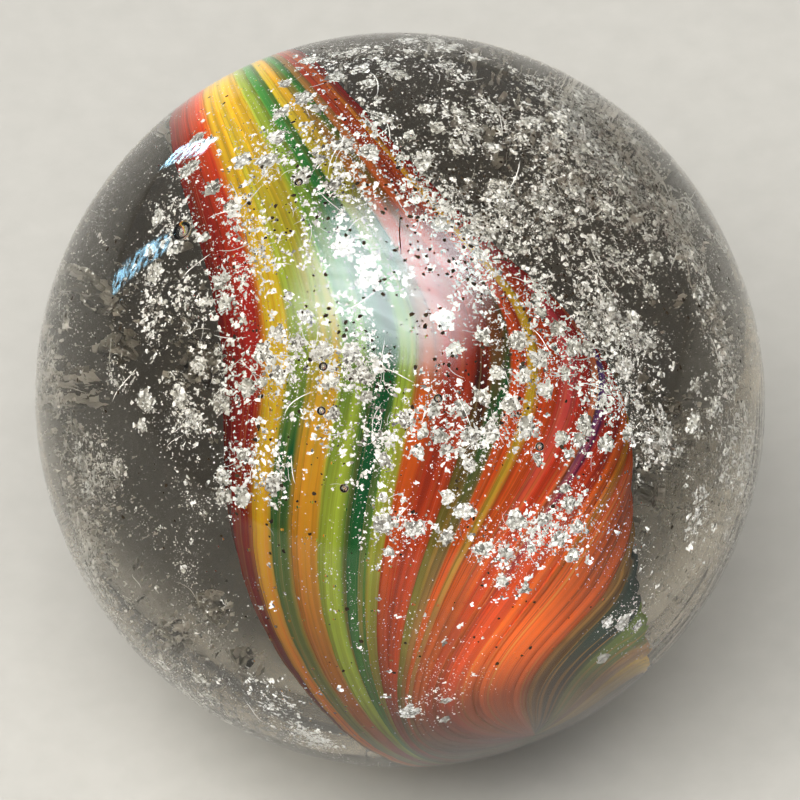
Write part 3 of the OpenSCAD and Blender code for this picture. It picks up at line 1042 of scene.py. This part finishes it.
# Painted shade in the pits and scratches: the eye gets a dull dark brown with no shine
pitShade = mottled("painted shade in pits and scratches", 0.4, 2, [(0.3, "1A1510"), (0.7, "3E3326")], 0.1)
points = [pitShadePiece(k) for k in range(4)]
pitted = bmesh.new()
pitted.from_mesh(scattered("pit_grime", skinMesh(), points, "grime", worn["seed"], pitShade))
pitted.from_mesh(scratchMesh())
bmesh.ops.recalc_face_normals(pitted, faces=pitted.faces)
mesh = bpy.data.meshes.new("pit_grime")
pitted.to_mesh(mesh)
pitted.free()
for spare in points:
    bpy.data.objects.remove(spare)
piece = addPiece("pit_grime", mesh, pitShade)
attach(piece, "root")
print("grime done,", len(mesh.polygons), "faces")


# Floor, light and camera

studio = {
    "world": 0.31, "worldColour": "EEF0F2", "floor": 1.5,    # the floor's half width in metres
    "distance": 0.32, "elevation": 45, "fill": 728 / 800,    # the ball's share of the frame
}
# Sizes and places in metres. The last three show only as reflections: a veil over the middle and two
# window panes. Their glow fades over a share of width and height, and streaks take a share at a slant.
lamps = {
    "overhead": {"watts": 4.7, "place": (-0.10, -0.22, 0.45), "size": (0.50, 0.36), "colour": "FFFDF8"},
    "veil": {"watts": 17.0, "place": (-0.025, -0.07, 0.49), "size": (0.62, 0.52), "colour": "F0FAFF",
             "edges": (0.34, 0.34), "streaky": 0.25, "slant": 0.4},
    "window": {"watts": 0.5, "place": (-0.43, 0.245, 0.07), "size": (0.06, 0.20), "colour": "9CD6F4",
               "edges": (0.20, 0.10), "streaky": 1.0, "slant": 0.8},
    "pane": {"watts": 0.5, "place": (-0.275, 0.415, 0.03), "size": (0.05, 0.16), "colour": "B4E0F6",
             "edges": (0.20, 0.10), "streaky": 0.9, "slant": -0.7},
}
bars = {"across": 3, "up": 14, "cloud": (0.42, 0.58)}  # streaks over a lamp, and their cloud from and to

# Matt card: the eye gets a quiet pale ground with a faint tooth
card = mottled("pale card, matt", 1.1, 3, [(0.0, "B0AEA9"), (1.0, "BBB9B4")], 0.2)
half, low = studio["floor"], cadBox[0].z
corners = [(-half, -half, low), (half, -half, low), (half, half, low), (-half, half, low)]
addPiece("floor", newMesh("floor", corners, [(0, 1, 2, 3)]), card)

world = bpy.data.worlds.new("studio")
scene.world = world
world.use_nodes = True
sky = world.node_tree.nodes["Background"].inputs
sky["Color"].default_value = toLinear(studio["worldColour"])
sky["Strength"].default_value = studio["world"]


def areaLamp(name, setting):
    data = bpy.data.lights.new(name, "AREA")
    data.shape = "RECTANGLE"
    data.size, data.size_y = setting["size"]
    data.energy = setting["watts"]
    data.color = toLinear(setting["colour"])[:3]
    lamp = bpy.data.objects.new(name, data)
    lamp.location = setting["place"]
    lamp.rotation_euler = (-Vector(setting["place"])).to_track_quat("-Z", "Y").to_euler()
    scene.collection.objects.link(lamp)
    return lamp


def softGlow(lamp, edges, share, slant):
    # Glow that fades to its edges, and is broken into streaks as by a window's bars
    lamp.data.use_nodes = True
    tree = lamp.data.node_tree
    tree.nodes.clear()
    place = addNode(tree, "ShaderNodeNewGeometry").outputs["Parametric"]
    sides = addNode(tree, "ShaderNodeSeparateXYZ", {0: place}).outputs
    fades = []
    for side, edge in zip(sides, edges):
        inward = addNode(tree, "ShaderNodeMath", {0: side, 1: 0.5}, operation="PINGPONG")
        fades.append(addNode(tree, "ShaderNodeMapRange", {"Value": inward, "From Max": edge},
                             interpolation_type="SMOOTHSTEP"))
    glow = addNode(tree, "ShaderNodeMath", {0: fades[0], 1: fades[1]}, operation="MULTIPLY")
    laid = addNode(tree, "ShaderNodeMapping", {
        "Vector": place, "Scale": (bars["across"], bars["up"], 1), "Rotation": (0, 0, slant)})
    cloud = addNode(tree, "ShaderNodeTexNoise", {"Vector": laid, "Scale": 1.0, "Detail": 2})
    broken = addNode(tree, "ShaderNodeMapRange", {
        "Value": cloud, **dict(zip(spanNames, (*bars["cloud"], 1 - share, 1)))})
    strength = addNode(tree, "ShaderNodeMath", {0: glow, 1: broken}, operation="MULTIPLY")
    beam = addNode(tree, "ShaderNodeEmission", {"Strength": strength})
    addNode(tree, "ShaderNodeOutputLight", {0: beam})


for name, setting in lamps.items():
    lamp = areaLamp(name, setting)
    if "edges" in setting:
        lamp.visible_diffuse = lamp.visible_transmission = lamp.visible_volume_scatter = False
        softGlow(lamp, setting["edges"], setting["streaky"], setting["slant"])
    else:
        lamp.visible_glossy = False

camera = bpy.data.cameras.new("camera")
camera.sensor_width = 36
viewer = bpy.data.objects.new("camera", camera)
e = radians(studio["elevation"])
viewer.location = Vector((0, -cos(e), sin(e))) * studio["distance"]
viewer.rotation_euler = (radians(90) - e, 0, 0)
scene.collection.objects.link(viewer)
bpy.context.scene.camera = viewer
seen = asin(ball["radius"] * mm / studio["distance"])
camera.angle = 2 * atan(tan(seen) / studio["fill"])
scene.view_settings.view_transform = "Standard"
